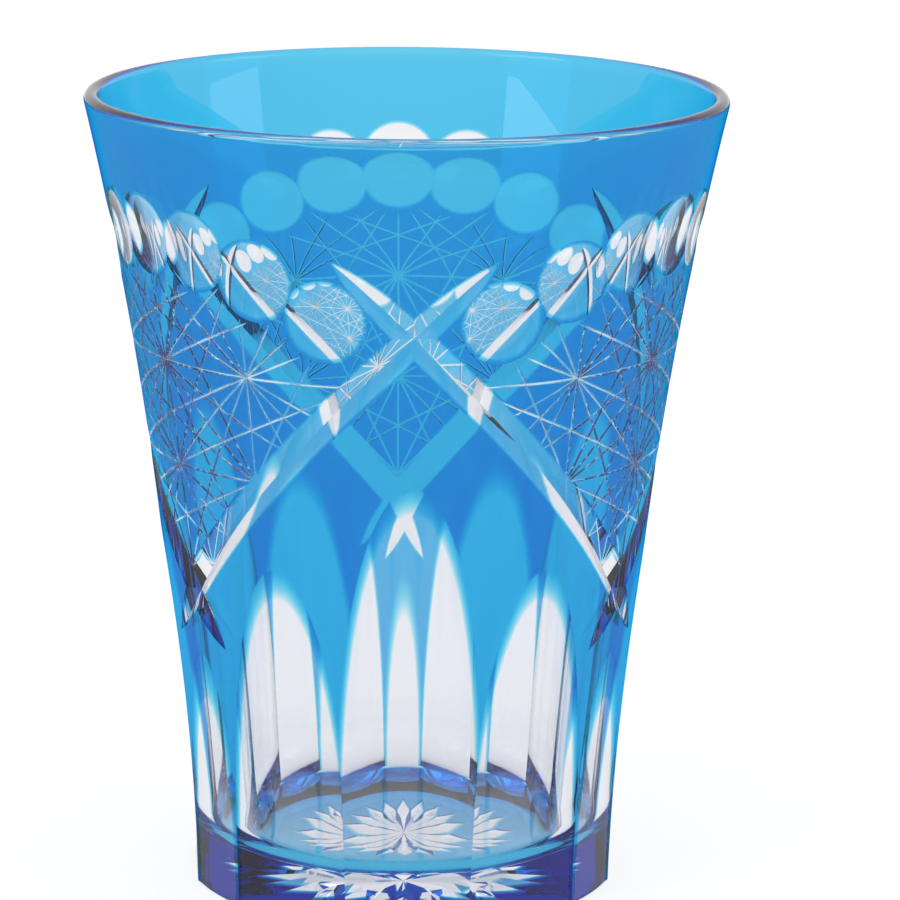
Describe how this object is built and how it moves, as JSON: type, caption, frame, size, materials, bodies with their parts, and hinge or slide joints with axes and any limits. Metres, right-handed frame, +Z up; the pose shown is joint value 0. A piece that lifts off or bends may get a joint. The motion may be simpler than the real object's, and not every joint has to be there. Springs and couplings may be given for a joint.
{
  "type": "cut crystal vase",
  "caption": "Flared cased-glass vase: clear crystal body under a blue overlay cut with printies, mitres, stars and flutes.",
  "frame": {"origin": "middle of the underside, on the surface that the vase stands on", "axes": "+Z up along the vase's axis, -Y towards the front with a high mitre crossing, +X to the viewer's right"},
  "size_m": [0.149, 0.149, 0.187],
  "materials": {
    "clear_crystal": "polished clear lead crystal, cut faces polished",
    "blue_overlay": "thin transparent azure-blue casing glass, polished, with fine satin star lines"
  },
  "bodies": {
    "root": {"crystal_body": "clear_crystal", "blue_rim_band": "blue_overlay", "blue_star_panel_left": "blue_overlay", "blue_star_panel_right": "blue_overlay", "blue_star_panel_back": "blue_overlay", "blue_flame_band": "blue_overlay", "blue_foot_disc": "blue_overlay"}
  },
  "joints": []
}
